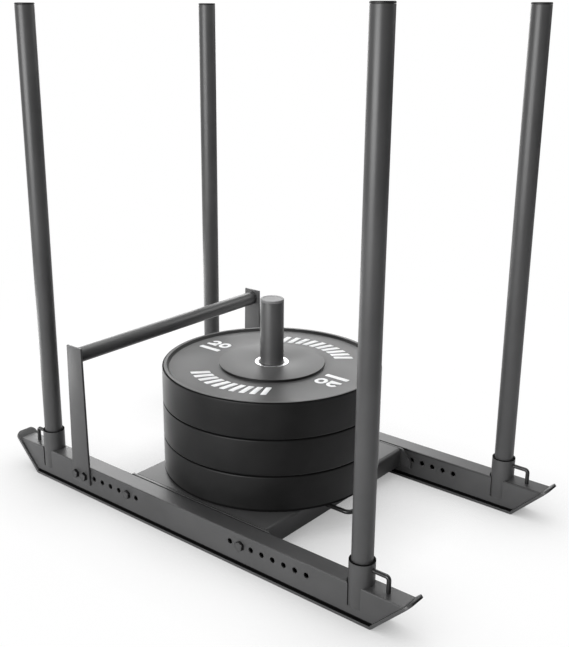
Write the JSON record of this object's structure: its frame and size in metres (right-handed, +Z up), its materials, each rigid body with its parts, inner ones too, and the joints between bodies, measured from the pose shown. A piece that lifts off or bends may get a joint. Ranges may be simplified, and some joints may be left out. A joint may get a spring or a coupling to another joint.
{
  "type": "push sled",
  "caption": "Push sled with two skid rails, lift-out push poles, a low push handle, and a central horn on a tray that carries round weight plates.",
  "frame": {"origin": "on the floor under the middle of the sled", "axes": "+X forward along the rails towards the pull loop, +Y to the left across the rails, +Z up"},
  "size_m": [1.0324, 0.5704, 0.9922],
  "materials": {
    "powder_coat": "charcoal satin powder coat with fine texture",
    "black_plastic": "matt black plastic plug",
    "grey_plastic": "light grey plastic cap",
    "plate_rubber": "moulded black rubber, satin",
    "hub_steel": "turned bright steel",
    "black_fastener": "black coated steel"
  },
  "bodies": {
    "frame": {"skid_right": "powder_coat", "rail_right": "powder_coat", "skid_left": "powder_coat", "rail_left": "powder_coat", "sleeve_front_right": "powder_coat", "tie_loop_front_right": "powder_coat", "sleeve_rear_right": "powder_coat", "tie_loop_rear_right": "powder_coat", "sleeve_front_left": "powder_coat", "tie_loop_front_left": "powder_coat", "sleeve_rear_left": "powder_coat", "tie_loop_rear_left": "powder_coat", "weight_tray": "powder_coat", "tray_flange_right": "powder_coat", "tray_flange_left": "powder_coat", "tray_bolt_front_right": "black_fastener", "tray_nut_front_right": "black_fastener", "tray_bolt_rear_right": "black_fastener", "tray_nut_rear_right": "black_fastener", "tray_bolt_front_left": "black_fastener", "tray_nut_front_left": "black_fastener", "tray_bolt_rear_left": "black_fastener", "tray_nut_rear_left": "black_fastener", "pull_loop": "powder_coat", "horn_tube": "powder_coat", "horn_cap": "grey_plastic", "handle_post_right": "powder_coat", "handle_bolt_right_1": "black_fastener", "handle_nut_right_1": "black_fastener", "handle_bolt_right_2": "black_fastener", "handle_nut_right_2": "black_fastener", "handle_post_left": "powder_coat", "handle_bolt_left_1": "black_fastener", "handle_nut_left_1": "black_fastener", "handle_bolt_left_2": "black_fastener", "handle_nut_left_2": "black_fastener", "handle_bar": "powder_coat"},
    "upright_front_right": {"pole_foot_plug_front_right": "black_plastic", "pole_front_right": "powder_coat", "pole_top_plug_front_right": "black_plastic"},
    "upright_rear_right": {"pole_foot_plug_rear_right": "black_plastic", "pole_rear_right": "powder_coat", "pole_top_plug_rear_right": "black_plastic"},
    "upright_front_left": {"pole_foot_plug_front_left": "black_plastic", "pole_front_left": "powder_coat", "pole_top_plug_front_left": "black_plastic"},
    "upright_rear_left": {"pole_foot_plug_rear_left": "black_plastic", "pole_rear_left": "powder_coat", "pole_top_plug_rear_left": "black_plastic"},
    "weight_bottom": {"plate_bottom": "plate_rubber", "hub_ring_bottom": "hub_steel"},
    "weight_middle": {"plate_middle": "plate_rubber", "hub_ring_middle": "hub_steel"},
    "weight_top": {"plate_top": "plate_rubber", "hub_ring_top": "hub_steel"}
  },
  "joints": [
    {"name": "upright_lift_front_right", "type": "slide", "parent": "frame", "child": "upright_front_right", "axis": [0, 0, 1], "range_m": [0, 0.1]},
    {"name": "upright_lift_rear_right", "type": "slide", "parent": "frame", "child": "upright_rear_right", "axis": [0, 0, 1], "range_m": [0, 0.1]},
    {"name": "upright_lift_front_left", "type": "slide", "parent": "frame", "child": "upright_front_left", "axis": [0, 0, 1], "range_m": [0, 0.1]},
    {"name": "upright_lift_rear_left", "type": "slide", "parent": "frame", "child": "upright_rear_left", "axis": [0, 0, 1], "range_m": [0, 0.1]},
    {"name": "weight_lift_bottom", "type": "slide", "parent": "frame", "child": "weight_bottom", "axis": [0, 0, 1], "range_m": [0, 0.37]},
    {"name": "weight_lift_middle", "type": "slide", "parent": "weight_bottom", "child": "weight_middle", "axis": [0, 0, 1], "range_m": [0, 0.295]},
    {"name": "weight_lift_top", "type": "slide", "parent": "weight_middle", "child": "weight_top", "axis": [0, 0, 1], "range_m": [0, 0.22]}
  ]
}
